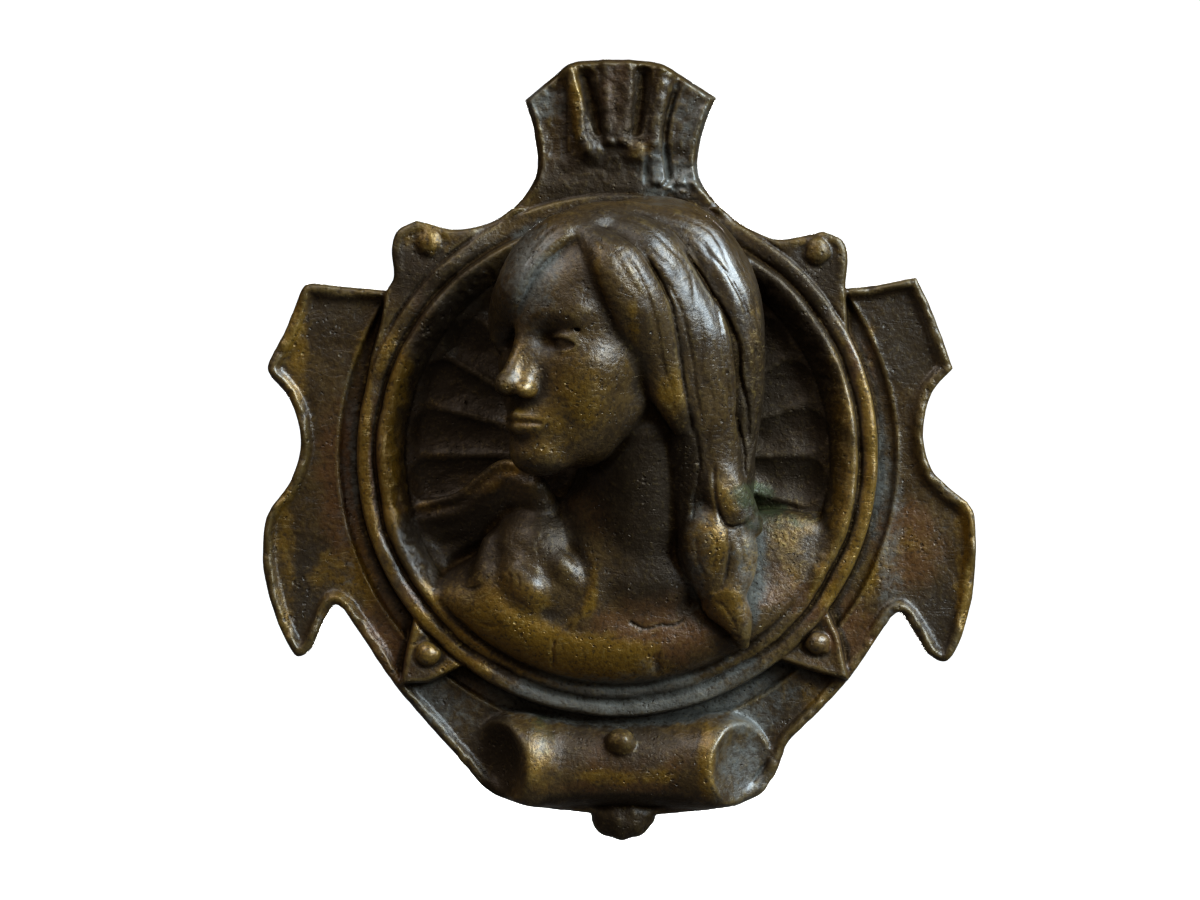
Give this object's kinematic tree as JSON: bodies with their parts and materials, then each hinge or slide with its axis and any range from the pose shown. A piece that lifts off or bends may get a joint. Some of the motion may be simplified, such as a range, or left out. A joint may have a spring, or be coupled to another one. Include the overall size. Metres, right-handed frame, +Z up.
{
  "type": "relief wall plaque",
  "caption": "Cast bronze wall plaque: a long-haired head and shoulders in high relief in a ringed, fluted medallion, on a cartouche with wings, a fluted crown and a scroll.",
  "frame": {"origin": "the middle of the crown's neck on the flat back, where the plaque is fixed to the wall", "axes": "+Z up the wall, +Y into the wall along the back face's normal, the relief faces -Y, +X to the viewer's right"},
  "size_m": [0.1095, 0.0293, 0.1197],
  "materials": {
    "bronze": "dark brown patina, rubbed golden on the high points"
  },
  "bodies": {
    "root": {"plaque": "bronze"}
  },
  "joints": []
}
